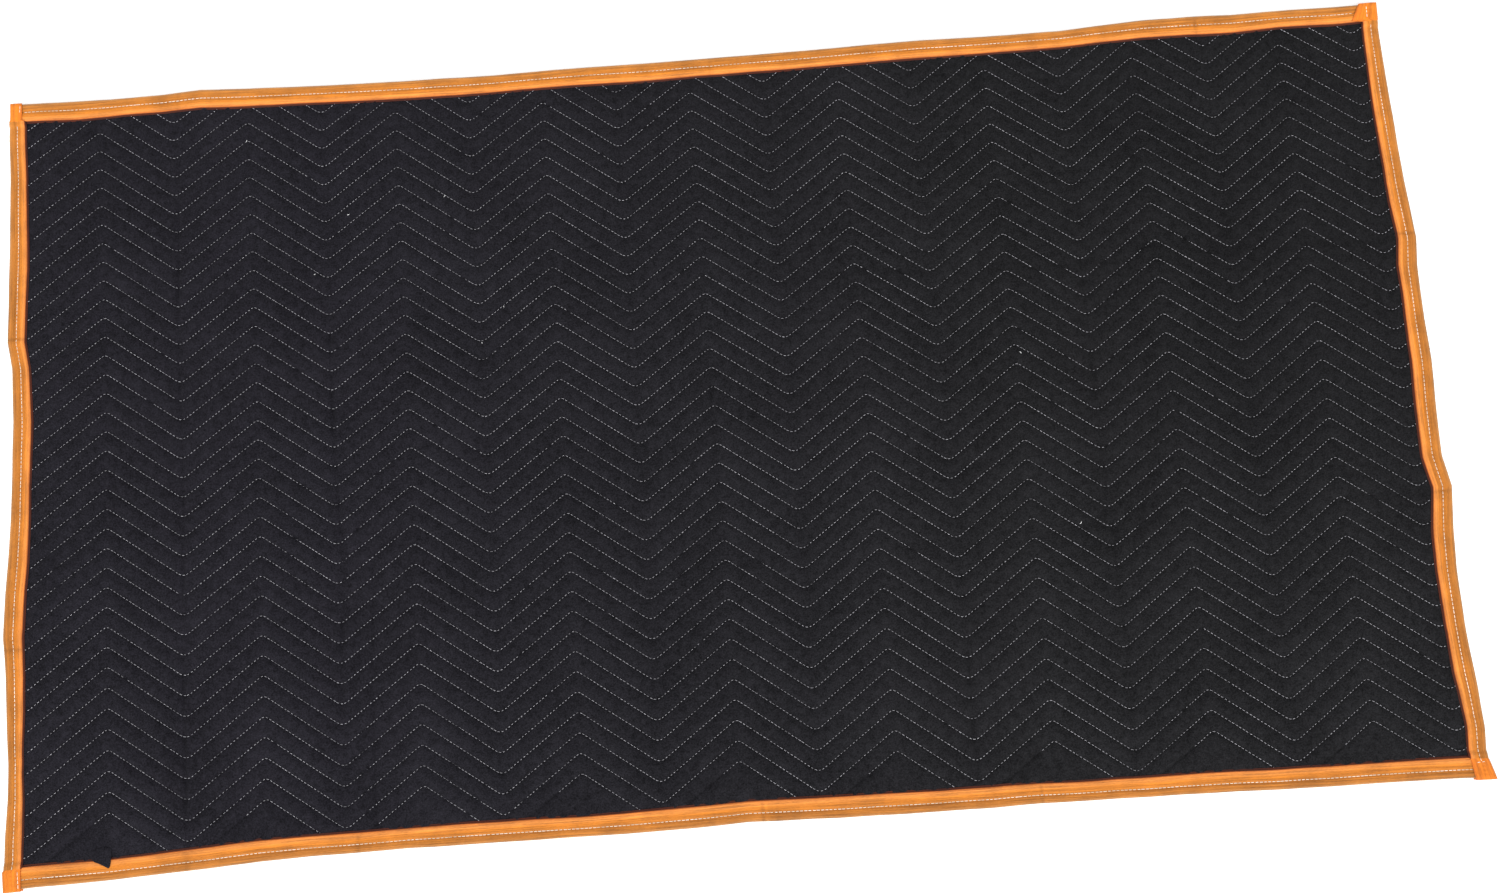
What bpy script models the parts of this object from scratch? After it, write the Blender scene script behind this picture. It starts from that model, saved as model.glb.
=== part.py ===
"""A quilted moving pad, 72 by 40 inches, lying flat on a floor.

The black panel is sewn through in zigzag rows, so that its upper face stands up in long crowns between
them. Its underside is pressed flat by the floor. Four orange strips are folded over its edges: the two
long ones first, and then the two short ones, whose turned-in ends cover the corners.

Lengths are in millimetres and become metres in the meshes. The pad is centred on the origin, with its
long side along X and its underside on z = 0. Each piece is laid out on a true rectangle and is then
moved by lie(), which gives the edges the uneven course that they have on the floor.
"""

from collections import namedtuple
from itertools import pairwise

import bmesh
import bpy
import numpy as np

MM = 0.001

# The finished pad, before it is laid down
HALF_LENGTH = 914.4
HALF_WIDTH = 508.0
CLEARANCE = 0.3

# Layers, from the floor up
BINDING_CLOTH = 1.0
TURNED_CLOTH = 1.5
HEM_THICKNESS = 3.0
HEM_BOTTOM = BINDING_CLOTH + CLEARANCE
HEM_TOP = HEM_BOTTOM + HEM_THICKNESS
LEAF_BOTTOM = HEM_TOP + CLEARANCE
CAP_BOTTOM = LEAF_BOTTOM + TURNED_CLOTH + CLEARANCE
CORNER_LIFT = BINDING_CLOTH + CLEARANCE

# Zigzag quilting of the panel's upper face
ROW_PITCH = 25.0
LOWEST_ROW = -453.8
ROW_COUNT = 39
ZIGZAG_PERIOD = 195.6
ZIGZAG_RISE = 70.6
FIRST_PEAK_X = -790.0
PEAK_COUNT = 9
SEAM_HEIGHT = 4.6
CROWN_HEIGHT = 6.6
SLAB_MARGIN = 16.0
SOLE_FLATNESS = 0.001
CrownLine = namedtuple("CrownLine", "share height")
CROWN_LINES = (
    CrownLine(0.22, 6.1),
    CrownLine(0.50, CROWN_HEIGHT),
    CrownLine(0.78, 6.1),
)

# Where the panel's edge is pressed down to a hem inside the bindings
HEM_SLOPE_RUN = 8.0
PRESS_RISE = 4.0
PRESS_DROP = 2.0

# Bindings: how wide each one shows, and where its seam runs, as a share of that width
LONG_BINDING_WIDTH = 25.0
LEFT_BINDING_WIDTH = 22.5
RIGHT_BINDING_WIDTH = 24.5
SEAM_SHARE = 0.43
SEAM_STEP = 0.5
FOLD_ROUNDING = 1.2

# The ends of the short bindings: how far each reaches past the long edge, and how far its outer and
# inner corners stray along X from the true line
Cap = namedtuple("Cap", "reach outer inner")
CAPS = {
    ("left", "top"): Cap(2.5, 0.0, 0.0),
    ("left", "bottom"): Cap(2.5, 0.0, 0.0),
    ("right", "top"): Cap(2.8, 0.0, -5.5),
    ("right", "bottom"): Cap(4.0, 4.5, 7.0),
}

# Where the pressed hem begins and ends, and where the corners' lower layers are raised
HEM_EDGE_X = HALF_LENGTH - HEM_BOTTOM
HEM_EDGE_Y = HALF_WIDTH - HEM_BOTTOM
HEM_LEFT = -HALF_LENGTH + LEFT_BINDING_WIDTH + CLEARANCE
HEM_RIGHT = HALF_LENGTH - RIGHT_BINDING_WIDTH - CLEARANCE
HEM_Y = HALF_WIDTH - LONG_BINDING_WIDTH - CLEARANCE
LIFTED_LEFT = HEM_LEFT
LIFTED_RIGHT = HEM_RIGHT + CAPS["right", "top"].inner

# A pinch of the panel's cloth that lies over the inner edge of the bottom binding
TUCK_X = -795.0
TUCK_HALF_WIDTH = 12.0
TUCK_TIP_X = -788.0
TUCK_REACH = 8.0
TUCK_ROOT = 9.0
TUCK_BOTTOM = LEAF_BOTTOM + TURNED_CLOTH + CLEARANCE
TUCK_TOP = 7.6
TUCK_TIP_TOP = 7.0

# How the edges stray in Y along the long sides, and in X along the short sides
LongEdges = namedtuple("LongEdges", "x top bottom")
LONG_EDGES = (
    LongEdges(-HALF_LENGTH, -3.0, 2.5),
    LongEdges(-780, -3.4, 5.3),
    LongEdges(-710, -2.6, 8.3),
    LongEdges(-660, 0.4, 10.2),
    LongEdges(-600, -2.6, 13.7),
    LongEdges(-540, -4.8, 15.5),
    LongEdges(-420, -7.8, 16.2),
    LongEdges(-270, -9.5, 14.9),
    LongEdges(-150, -8.1, 14.2),
    LongEdges(0, -8.3, 16.6),
    LongEdges(150, -7.0, 13.4),
    LongEdges(300, -4.5, 12.1),
    LongEdges(420, -6.4, 12.3),
    LongEdges(490, -5.4, 11.2),
    LongEdges(540, -2.8, 10.5),
    LongEdges(600, 0.3, 9.7),
    LongEdges(660, 0.6, 8.3),
    LongEdges(720, -1.1, 7.0),
    LongEdges(800, -0.5, 6.6),
    LongEdges(HALF_LENGTH, -1.5, 4.4),
)
ShortEdges = namedtuple("ShortEdges", "y left right")
SHORT_EDGES = (
    ShortEdges(-HALF_WIDTH, -0.6, -2.0),
    ShortEdges(-400, 2.7, -2.9),
    ShortEdges(-320, 2.0, -6.7),
    ShortEdges(-250, 0.0, -7.0),
    ShortEdges(-200, -3.0, -3.6),
    ShortEdges(-145, -1.8, 1.5),
    ShortEdges(-105, 1.6, -4.0),
    ShortEdges(20, 6.0, 1.0),
    ShortEdges(100, 5.8, 0.0),
    ShortEdges(145, 5.0, 1.4),
    ShortEdges(182, -0.7, 4.6),
    ShortEdges(260, 0.4, 0.6),
    ShortEdges(400, 1.5, -2.3),
    ShortEdges(HALF_WIDTH, -0.6, -2.2),
)
EDGE_FADE = 3.0

BLACK_CLOTH = (0.020, 0.020, 0.024, 1.0)
ORANGE_CLOTH = (0.80, 0.27, 0.045, 1.0)


def clear_scene():
    for item in list(bpy.data.objects):
        bpy.data.objects.remove(item, do_unlink=True)


def new_collection(name):
    collection = bpy.data.collections.new(name)
    bpy.context.scene.collection.children.link(collection)
    return collection


def cloth_material(name, colour, roughness):
    material = bpy.data.materials.new(name)
    material.use_nodes = True
    shader = material.node_tree.nodes["Principled BSDF"]
    shader.inputs["Base Color"].default_value = colour
    shader.inputs["Roughness"].default_value = roughness
    shader.inputs["Metallic"].default_value = 0.0
    return material


def new_object(name, bm, collection, material=None):
    """Turn a bmesh in millimetres into an object in metres."""
    bmesh.ops.scale(bm, vec=(MM, MM, MM), verts=bm.verts)
    mesh = bpy.data.meshes.new(name)
    bm.to_mesh(mesh)
    bm.free()
    if material:
        mesh.materials.append(material)
    item = bpy.data.objects.new(name, mesh)
    collection.objects.link(item)
    return item


def stray(rows, column, at):
    """Read one column of an edge table at a place along the edge."""
    places = [row[0] for row in rows]
    values = [getattr(row, column) for row in rows]
    return float(np.interp(at, places, values))


def lie(x, y):
    """Where a point of the true rectangle lies on the floor; an edge's stray fades out inwards."""
    to_right, to_top = (1 + x / HALF_LENGTH) / 2, (1 + y / HALF_WIDTH) / 2
    along_x = to_right**EDGE_FADE * stray(SHORT_EDGES, "right", y)
    along_x += (1 - to_right) ** EDGE_FADE * stray(SHORT_EDGES, "left", y)
    along_y = to_top**EDGE_FADE * stray(LONG_EDGES, "top", x)
    along_y += (1 - to_top) ** EDGE_FADE * stray(LONG_EDGES, "bottom", x)
    return x + along_x, y + along_y


def lay_down(bm):
    for vert in bm.verts:
        vert.co.x, vert.co.y = lie(vert.co.x, vert.co.y)


def zigzag(x):
    """How far a row stands above its mean line: half the rise at a peak, minus that at a valley."""
    phase = ((x - FIRST_PEAK_X) / ZIGZAG_PERIOD) % 1.0
    return ZIGZAG_RISE * (abs(2 * phase - 1) - 0.5)


def ramp(value, start, end):
    """0 before start, 1 after end, and straight between them."""
    return min(1.0, max(0.0, (value - start) / (end - start)))


def slab(xs, ys, shear, top, bottom):
    """A closed slab on a grid of lines, with its heights and its shear in Y given as functions."""
    bm = bmesh.new()
    columns, rows = len(xs) - 1, len(ys) - 1
    bmesh.ops.create_grid(bm, x_segments=columns, y_segments=rows, size=1.0)
    under = list(bm.faces)
    copied = bmesh.ops.extrude_face_region(bm, geom=under, use_keep_orig=True)["geom"]
    upper = {item for item in copied if isinstance(item, bmesh.types.BMVert)}
    for vert in bm.verts:
        x = xs[round((vert.co.x + 1) / 2 * columns)]
        y = ys[round((vert.co.y + 1) / 2 * rows)]
        height = top if vert in upper else bottom
        vert.co = (x, y + shear(x), height(x, y))
    bmesh.ops.recalc_face_normals(bm, faces=bm.faces)
    return bm


def quilted_slab():
    """The panel before its edge is cut and pressed: crowns between zigzag rows, flat beneath."""
    corner_count = 2 * PEAK_COUNT + 1
    corners = [FIRST_PEAK_X + (i - 1) * ZIGZAG_PERIOD / 2 for i in range(corner_count)]
    end_x = HALF_LENGTH + SLAB_MARGIN
    end_y = HALF_WIDTH + ZIGZAG_RISE / 2 + SLAB_MARGIN
    below_first = [LOWEST_ROW - line.share * ROW_PITCH for line in reversed(CROWN_LINES[:2])]
    heights = {y: line.height for y, line in zip(below_first, reversed(CROWN_LINES[:2]))}
    for row in range(ROW_COUNT):
        seam_y = LOWEST_ROW + row * ROW_PITCH
        heights[seam_y] = SEAM_HEIGHT
        heights |= {seam_y + line.share * ROW_PITCH: line.height for line in CROWN_LINES}
    highest = max(heights)
    heights[-end_y] = CROWN_HEIGHT
    heights[max(end_y, highest + SLAB_MARGIN)] = CROWN_HEIGHT
    return slab(
        [-end_x, *corners, end_x],
        sorted(heights),
        shear=zigzag,
        top=lambda x, y: heights[y],
        bottom=lambda x, y: 0.0,
    )


def lift(x):
    """How far a long edge's lower side is raised: not at all in its middle, fully in the corners."""
    at_left = ramp(-x, -LIFTED_LEFT - HEM_SLOPE_RUN, -LIFTED_LEFT)
    at_right = ramp(x, LIFTED_RIGHT - HEM_SLOPE_RUN, LIFTED_RIGHT)
    return CORNER_LIFT * max(at_left, at_right)


def openness(x, y):
    """0 where the panel is pressed to a hem, and 1 where it keeps its full height."""
    from_left = ramp(x, HEM_LEFT, HEM_LEFT + HEM_SLOPE_RUN)
    from_right = ramp(-x, -HEM_RIGHT, HEM_SLOPE_RUN - HEM_RIGHT)
    from_long_edge = ramp(-abs(y), -HEM_Y, HEM_SLOPE_RUN - HEM_Y)
    return min(from_left, from_right, from_long_edge)


def hem_underside(x, y):
    in_corner = lift(x) * ramp(abs(y), HEM_Y - HEM_SLOPE_RUN, HEM_Y)
    return HEM_BOTTOM + in_corner - PRESS_DROP * openness(x, y)


def press():
    """What the panel is cut to: thin at the hem, thinner still at the corners, open in the middle."""
    xs = {-HEM_EDGE_X, HEM_LEFT, HEM_LEFT + HEM_SLOPE_RUN, HEM_RIGHT - HEM_SLOPE_RUN, HEM_RIGHT, HEM_EDGE_X}
    xs |= {LIFTED_RIGHT - HEM_SLOPE_RUN, LIFTED_RIGHT}
    xs |= {row.x for row in LONG_EDGES if min(xs) < row.x < max(xs)}
    ys = {-HEM_EDGE_Y, -HEM_Y, HEM_SLOPE_RUN - HEM_Y, HEM_Y - HEM_SLOPE_RUN, HEM_Y, HEM_EDGE_Y}
    ys |= {row.y for row in SHORT_EDGES if min(ys) < row.y < max(ys)}
    return slab(
        sorted(xs),
        sorted(ys),
        shear=lambda x: 0.0,
        top=lambda x, y: HEM_TOP + PRESS_RISE * openness(x, y),
        bottom=hem_underside,
    )


def tuck():
    """A flat pinch of cloth, rooted in the lowest crown and pointing out over the bottom binding."""
    inner_y = LONG_BINDING_WIDTH - HALF_WIDTH
    root_y, lip_y, tip_y = inner_y + TUCK_ROOT, inner_y, inner_y - TUCK_REACH
    outline = (
        (TUCK_X - TUCK_HALF_WIDTH, root_y, TUCK_TOP),
        (TUCK_X + TUCK_HALF_WIDTH, root_y, TUCK_TOP),
        (TUCK_X + TUCK_HALF_WIDTH, lip_y, TUCK_TOP),
        (TUCK_TIP_X, tip_y, TUCK_TIP_TOP),
        (TUCK_X - TUCK_HALF_WIDTH, lip_y, TUCK_TIP_TOP),
    )
    bm = bmesh.new()
    for x, y, top in outline:
        bm.verts.new((x, y, top))
        bm.verts.new((x, y, TUCK_BOTTOM))
    bmesh.ops.convex_hull(bm, input=bm.verts)
    return bm


def add_boolean(item, operation, cutter):
    modifier = item.modifiers.new(operation.title(), "BOOLEAN")
    modifier.operation = operation
    modifier.object = cutter
    modifier.solver = "EXACT"


def quilted_panel(parts, cutters, material):
    raw = new_object("raw_panel", quilted_slab(), cutters)
    tools = (
        ("INTERSECT", new_object("panel_press", press(), cutters)),
        ("UNION", new_object("panel_tuck", tuck(), cutters)),
    )
    for operation, tool in tools:
        add_boolean(raw, operation, tool)
    bpy.context.view_layer.update()
    evaluated = raw.evaluated_get(bpy.context.evaluated_depsgraph_get())
    bm = bmesh.new()
    bm.from_mesh(evaluated.to_mesh())
    evaluated.to_mesh_clear()
    bmesh.ops.scale(bm, vec=(1 / MM, 1 / MM, 1 / MM), verts=bm.verts)
    sole = [face for face in bm.faces if all(abs(vert.co.z) < SOLE_FLATNESS for vert in face.verts)]
    bmesh.ops.dissolve_faces(bm, faces=sole)
    bmesh.ops.triangulate(bm, faces=bm.faces)
    lay_down(bm)
    new_object("quilted_panel", bm, parts, material)
    for item in (raw, *(tool for _, tool in tools)):
        item.hide_render = True
        item.display_type = "WIRE"


def folded_section(width, low, leaf, outer_band, inner_band):
    """The outline of a folded strip as (distance in from its fold, height), thicker past its seam."""
    seam = SEAM_SHARE * width
    cloth = BINDING_CLOTH
    return (
        (FOLD_ROUNDING, low),
        (0.0, low + FOLD_ROUNDING),
        (0.0, leaf + outer_band - FOLD_ROUNDING),
        (FOLD_ROUNDING, leaf + outer_band),
        (seam - SEAM_STEP, leaf + outer_band),
        (seam + SEAM_STEP, leaf + inner_band),
        (width, leaf + inner_band),
        (width, leaf),
        (cloth, leaf),
        (cloth, low + cloth),
        (width, low + cloth),
        (width, low),
    )


def loft(sections):
    """A closed solid through sections that have the same number of points."""
    bm = bmesh.new()
    rings = [[bm.verts.new(point) for point in section] for section in sections]
    for near, far in pairwise(rings):
        for i, corner in enumerate(near):
            bm.faces.new((near[i - 1], corner, far[i], far[i - 1]))
    bm.faces.new(rings[0])
    bm.faces.new(reversed(rings[-1]))
    bmesh.ops.recalc_face_normals(bm, faces=bm.faces)
    bmesh.ops.triangulate(bm, faces=bm.faces)
    return bm


def long_binding(name, direction, parts, material):
    """A strip along the top (direction 1) or bottom (-1) edge, its lower leaf lifted at both ends."""
    stations = {-HEM_EDGE_X, LIFTED_LEFT, LIFTED_LEFT + HEM_SLOPE_RUN}
    stations |= {LIFTED_RIGHT - HEM_SLOPE_RUN, LIFTED_RIGHT, HEM_EDGE_X}
    stations |= {row.x for row in LONG_EDGES if LIFTED_LEFT < row.x < LIFTED_RIGHT}
    sections = []
    for x in sorted(stations):
        section = folded_section(LONG_BINDING_WIDTH, lift(x), LEAF_BOTTOM, BINDING_CLOTH, TURNED_CLOTH)
        sections.append([(x, direction * (HALF_WIDTH - inward), z) for inward, z in section])
    bm = loft(sections)
    lay_down(bm)
    new_object(name, bm, parts, material)


def short_binding(side, direction, width, parts, material):
    """A strip along the right (direction 1) or left (-1) edge, its upper leaf raised over the corners."""
    top, bottom = CAPS[side, "top"], CAPS[side, "bottom"]
    stations = {-HALF_WIDTH - bottom.reach, -HEM_Y, HEM_SLOPE_RUN - HEM_Y}
    stations |= {HEM_Y - HEM_SLOPE_RUN, HEM_Y, HALF_WIDTH + top.reach}
    stations |= {row.y for row in SHORT_EDGES if abs(row.y) < HEM_Y}
    sections = []
    for y in sorted(stations):
        cap = top if y > 0 else bottom
        raised = ramp(abs(y), HEM_Y - HEM_SLOPE_RUN, HEM_Y)
        flare = ramp(abs(y), HEM_Y, HALF_WIDTH + cap.reach)
        leaf = LEAF_BOTTOM + raised * (CAP_BOTTOM - LEAF_BOTTOM)
        outer_band = BINDING_CLOTH + raised * (TURNED_CLOTH - BINDING_CLOTH)
        outer_x = direction * HALF_LENGTH + flare * cap.outer
        inner_x = direction * (HALF_LENGTH - width) + flare * cap.inner
        section = folded_section(width, 0.0, leaf, outer_band, TURNED_CLOTH)
        points = [(outer_x + (inner_x - outer_x) * inward / width, y, z) for inward, z in section]
        sections.append(points)
    bm = loft(sections)
    lay_down(bm)
    new_object(f"binding_{side}", bm, parts, material)


def main():
    clear_scene()
    parts = new_collection("moving_pad")
    cutters = new_collection("cutters")
    black = cloth_material("black_cloth", BLACK_CLOTH, 0.9)
    orange = cloth_material("orange_binding", ORANGE_CLOTH, 0.75)
    quilted_panel(parts, cutters, black)
    long_binding("binding_top", 1, parts, orange)
    long_binding("binding_bottom", -1, parts, orange)
    short_binding("left", -1, LEFT_BINDING_WIDTH, parts, orange)
    short_binding("right", 1, RIGHT_BINDING_WIDTH, parts, orange)


main()
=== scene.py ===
"""Looks of the quilted moving pad: black cloth, quilting thread, orange bindings, floor, light and camera.

Lengths are in millimetres and become metres in the meshes. Every piece is laid out on a true rectangle,
and lie() then gives it the uneven course that the pad has on the floor. The main sizes are those of the
solids' source. The edges and the bindings' widths are drawn in more detail here.
"""

from collections import namedtuple
from math import radians

import bmesh
import bpy
import numpy as np
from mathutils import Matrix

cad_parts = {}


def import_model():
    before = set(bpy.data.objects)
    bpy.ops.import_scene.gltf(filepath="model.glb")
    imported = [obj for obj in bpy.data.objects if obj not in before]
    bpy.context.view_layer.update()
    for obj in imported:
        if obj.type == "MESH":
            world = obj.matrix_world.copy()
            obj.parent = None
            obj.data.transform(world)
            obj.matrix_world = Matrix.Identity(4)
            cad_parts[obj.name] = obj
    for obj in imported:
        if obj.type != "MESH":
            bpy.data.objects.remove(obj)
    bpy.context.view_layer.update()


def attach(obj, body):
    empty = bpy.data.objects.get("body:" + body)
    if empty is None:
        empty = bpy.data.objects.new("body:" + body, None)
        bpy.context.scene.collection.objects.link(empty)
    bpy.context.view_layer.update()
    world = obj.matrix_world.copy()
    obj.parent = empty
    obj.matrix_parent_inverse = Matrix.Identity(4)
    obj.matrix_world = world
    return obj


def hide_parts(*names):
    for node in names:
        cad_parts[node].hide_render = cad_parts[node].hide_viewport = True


MM = 0.001

# The finished pad, before it is laid down
HALF_LENGTH = 914.4
HALF_WIDTH = 508.0
CLEARANCE = 0.3

# Layers, from the floor up
BINDING_CLOTH = 1.0
TURNED_CLOTH = 1.5
HEM_THICKNESS = 3.0
HEM_BOTTOM = BINDING_CLOTH + CLEARANCE
HEM_TOP = HEM_BOTTOM + HEM_THICKNESS
LEAF_BOTTOM = HEM_TOP + CLEARANCE
CAP_BOTTOM = LEAF_BOTTOM + TURNED_CLOTH + CLEARANCE
CORNER_LIFT = BINDING_CLOTH + CLEARANCE

# Zigzag quilting
ROW_PITCH = 25.0
LOWEST_ROW = -453.8
ROW_COUNT = 39
ZIGZAG_PERIOD = 195.6
ZIGZAG_RISE = 70.6
ZIGZAG_SLOPE = 2 * ZIGZAG_RISE / ZIGZAG_PERIOD
FIRST_PEAK_X = -790.0
PEAK_COUNT = 9
PEAK_RUN = 4.5
VALLEY_RUN = 7.5

# The flat hem under the bindings
HEM_SLOPE_RUN = 8.0
HEM_WIDTH = 28.5
HEM_EDGE_X = HALF_LENGTH - HEM_BOTTOM
HEM_EDGE_Y = HALF_WIDTH - HEM_BOTTOM
HEM_LEFT = -HALF_LENGTH + HEM_WIDTH
HEM_RIGHT = HALF_LENGTH - HEM_WIDTH
HEM_Y = HALF_WIDTH - HEM_WIDTH
LIFTED_RIGHT = HEM_RIGHT - 5.5

# How the edges stray in Y along the long sides (x, top, bottom), and in X along the short sides
# (y, left, right)
LONG_EDGES = np.array((
    (-914.4, -1.7, 1), (-780, -3.6, 4.4), (-710, -2.6, 7.4), (-660, 0.6, 9.2), (-600, -2.6, 12.8),
    (-540, -5, 14.5), (-420, -8.3, 15.2), (-270, -9.6, 14.1), (-150, -8.1, 13), (-60, -8.8, 13.9),
    (0, -8.5, 15.8), (150, -7, 12.3), (300, -4.6, 11.1), (360, -5.5, 12.2), (420, -6.4, 11.3),
    (490, -6, 10.3), (540, -3, 9.6), (600, 0.1, 8.9), (660, 0.5, 7.1), (720, -1.2, 6.1), (800, 0, 5.9),
    (860, -0.8, 4.7), (914.4, -0.2, 3.2),
))
SHORT_EDGES = np.array((
    (-508, -0.9, -4), (-475, -0.7, -4.7), (-448, -0.4, -2.1), (-400, 2.9, -2.9), (-355, 3.8, -5.6),
    (-320, 2, -7.2), (-250, -0.3, -6.8), (-200, -4, -3.4), (-145, -1.5, 2.9), (-105, 1.8, -4),
    (-50, 4.5, -2.3), (20, 6.2, 0.9), (75, 7.2, 0), (145, 5.6, 1.2), (182, -0.6, 5.6), (260, 0.4, 0.6),
    (330, 1.5, -1), (400, 1.7, -2.4), (460, 0.1, -3.2), (508, 0.3, -2.4),
))
EDGE_FADE = 3.0
UNLIE_ROUNDS = 6

# The quilting was sewn before the edges were cut, so it doesn't follow them. It strays from its drawn
# course by these lengths along X and along Y, at each X of the columns and from the top row downwards.
STRAY_COLUMNS = (-888, -790, -400, 0, 390, 775, 888)
STRAY_ROWS = (-440, -210, -60, 90, 250, 420)
STRAY_X = np.array((
    (-7, -4.5, -3, -1.9, -1.3, 1, 3.5),
    (-6, -0.2, -1.2, -1.5, 0.2, 2, 4.3),
    (-4, 2.2, 0.2, 0.3, 0.9, 0.8, 2.9),
    (-4, 2.5, 0.8, 0.9, 1, -0.4, 2.2),
    (-4.5, 1.8, 1.2, 0.6, -0.2, 0.4, 2.7),
    (-3.1, 4.2, 1.8, 0.3, -1.7, 1.6, 5.4),
))
STRAY_Y = np.array((
    (4.6, 2.2, 0.6, -1.8, -0.6, 4.2, 6),
    (-5.2, -0.6, -1.4, -2.8, -2, 2.4, 3.2),
    (-5.1, -0.6, -1.6, -0.8, -0.1, 1.3, 0.3),
    (-5.9, -1.2, -0.5, 0, -0.5, -1.5, -4),
    (-5.2, -0.6, -0.3, 1.3, -0.8, -2.4, -4.4),
    (-8.8, -4, 0.2, 1.5, -3.2, -7.7, -9.4),
))

# The upper face of the panel
SEAM_HEIGHT = 4.3
CROWN_HEIGHT = 6.7
DOME_POWER = 2.0
MID_LAYER = 2.4
CROWN_CHANGE = 0.1
SWELL = 0.3
SWELL_SIZE = 75.0
DIMPLE = 0.12
DIMPLE_SIZE = 14.0
WANDER = 0.3
WANDER_SIZE = 90.0

# The underside: seams pulled up from the floor, crowns resting on it
BACK_SEAM_HEIGHT = 1.5
BACK_LAYER = MID_LAYER - 0.1

# Where the grid lines of the two faces run: to both sides of the zigzag's corners, and up from each seam
FACE_COLUMNS = (0, 1.6, 3.4, 6, 11, 20, 33, 48.9)
FACE_LINES = (0, 1.1, 3.4, 7.5, 12.5, 17.5, 21.6, 23.9)
FACE_LINES_BELOW = (1.1, 3.4, 7.5, 12.5, 19, 28, 40, 56, 75, 95)
BACK_COLUMNS = (0, 3.4, 9, 24, 48.9)
BACK_LINES = (0, 2.5, 7.5, 12.5, 17.5, 22.5)
BACK_LINES_BELOW = (2.5, 7.5, 12.5, 24, 40, 60, 95)
GRID_SPARE = 40.0
# More grid lines for a thin crease
CREASE_COLUMNS = (-462, -459, -457, -455, -453, -451, -448)

# Creases of the panel: the points of the course, the width, and the depth, negative where one stands up
CREASES = (
    (((-691, 400), (-693, 180), (-689, -40), (-692, -250), (-690, -482)), 2.4, 1.9),
    (((-497, 160), (-495, -18), (-489, -110), (-486, -153)), 2.4, 2.6),
    (((-486, -153), (-494, -260), (-497, -330)), 2.4, 2.2),
    (((-482, -60), (-476, -120), (-478, -170)), 4, -1.1),
    (((-451, -137), (-455, -300), (-458, -462)), 1.9, 2.2),
    (((-470, -330), (-468, -470)), 2.6, 0.9),
    (((-10, 70), (-9, -60), (-12, -150)), 2.6, 1.6),
    (((286, -305), (284, -400), (286, -462)), 2.3, 2.4),
    (((481, 190), (480, -20), (484, -260), (480, -450)), 2.4, 1.8),
    (((117, 197), (260, 186), (416, 179), (640, 184), (886, 181)), 4, 1.3),
    (((560, 196), (640, 205), (700, 196)), 3, 1),
    (((202, -175), (330, -171), (468, -164), (697, -157), (889, -148)), 4, 1.2),
    (((-230, -160), (-60, -184), (100, -168)), 4.6, 1.1),
    (((-592, -20), (-576, -62), (-553, -92), (-528, -110)), 3, 1.4),
    (((-600, -120), (-560, -146), (-520, -190)), 3, 1.2),
    (((-372, -402), (-335, -436), (-300, -448), (-276, -470)), 2.8, 1.6),
    (((-330, -398), (-318, -430), (-350, -462)), 2.6, 1.4),
    (((-300, -410), (-292, -436), (-262, -452)), 2.6, 1.3),
    (((-640, -470), (-610, -452), (-566, -446)), 2.6, 1.4),
    (((-690, -482), (-664, -486), (-600, -478)), 3, 1.2),
    (((-880, -474), (-840, -456), (-800, -452)), 4, 1.1),
    (((-791, -440), (-789, -484)), 2.6, 2),
    (((-902, 178), (-860, 171), (-790, 176)), 4.6, 1.1),
    (((-890, -60), (-850, -120), (-846, -200)), 4.6, 0.8),
    (((560, 330), (590, 240), (575, 180)), 3.4, 0.8),
)
CREASE_STRENGTH = 0.65
CREASE_CHANGE = 0.5
CREASE_CHANGE_SIZE = 36.0
# Painted shade: how much darker a crease makes the cloth for each millimetre of its depth, and a seam beside
# its thread; a crease that stands up is painted lighter
CREASE_SHADE = 0.09
DEEPEST_PAINTED_SHADE = 0.5
SEAM_SHADE = 0.3
SEAM_SHADE_WIDTH = 1.4

# Places where the cloth is finely crumpled: x, y, radius and height
CRUMPLES = (
    (-545, -95, 95, 0.5), (-318, -440, 90, 0.6), (-660, -462, 70, 0.4), (-830, -450, 70, 0.4),
    (640, 195, 130, 0.4), (300, 182, 130, 0.3), (470, -165, 140, 0.3), (60, -175, 130, 0.3),
    (330, -440, 100, 0.3), (-880, 120, 80, 0.3),
)
CRUMPLE_SIZE = (26.0, 9.0)
CRUMPLE_SLANT = (0.4, -0.3)

# Quilting thread
STITCH_PITCH = 5.0
STITCH_RADIUS = 0.33
STITCH_JITTER = 0.35
STITCH_SPREAD = (0.82, 1.08)
# How long the stitches show on rising and on falling stretches
FACE_STITCHES = (3.3, 4.4)
BACK_STITCHES = (3.6, 3.6)
# Where along a stitch its rings of points are, as shares of its length
FACE_RINGS = (0.2, 0.8)
BACK_RINGS = (0.5,)
MISSED_SHARE = 0.006
THREAD_SPARE = 6.0
SUNK = 0.35
COURSE_STEP = 1.0
# How much of each rising stretch of the lowest row shows, along X from its peak
LOWEST_STRETCHES = (16, 25, 60, 30, 20, 39, 17, 27, 37)

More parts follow.
